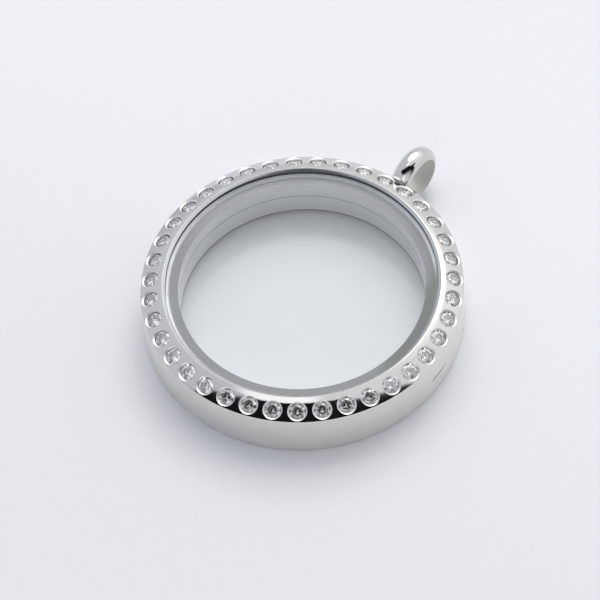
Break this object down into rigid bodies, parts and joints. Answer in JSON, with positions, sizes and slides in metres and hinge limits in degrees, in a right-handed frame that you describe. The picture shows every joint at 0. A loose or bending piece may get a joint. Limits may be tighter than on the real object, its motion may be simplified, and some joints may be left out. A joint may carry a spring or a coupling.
{
  "type": "floating locket",
  "caption": "Round hinged locket with clear glass front and back, a ring of clear stones set in the sloped front face, and a loop bail at the top.",
  "frame": {"origin": "middle of the flat back, on the underside of the back glass", "axes": "+Z out of the front glass, +Y towards the bail, -X towards the hinge"},
  "size_m": [0.0305, 0.0351, 0.0062],
  "materials": {
    "steel": "mirror polished",
    "magnet": "bright plated",
    "glass": "clear polished",
    "stone": "faceted clear"
  },
  "bodies": {
    "back": {"back_frame": "steel", "back_glass": "glass", "hinge_pin": "steel", "closure_magnet": "magnet"},
    "front": {"front_frame": "steel", "front_glass": "glass", "stone_01": "stone", "stone_02": "stone", "stone_03": "stone", "stone_04": "stone", "stone_05": "stone", "stone_06": "stone", "stone_07": "stone", "stone_08": "stone", "stone_09": "stone", "stone_10": "stone", "stone_11": "stone", "stone_12": "stone", "stone_13": "stone", "stone_14": "stone", "stone_15": "stone", "stone_16": "stone", "stone_17": "stone", "stone_18": "stone", "stone_19": "stone", "stone_20": "stone", "stone_21": "stone", "stone_22": "stone", "stone_23": "stone", "stone_24": "stone", "stone_25": "stone", "stone_26": "stone", "stone_27": "stone", "stone_28": "stone", "stone_29": "stone", "stone_30": "stone", "stone_31": "stone", "stone_32": "stone", "stone_33": "stone", "stone_34": "stone", "stone_35": "stone", "stone_36": "stone", "stone_37": "stone", "stone_38": "stone", "stone_39": "stone"}
  },
  "joints": [
    {"name": "lid_hinge", "type": "hinge", "parent": "back", "child": "front", "pos_m": [-0.0147, 0, 0.00215], "axis": [0, -1, 0], "range_deg": [0, 110]}
  ]
}
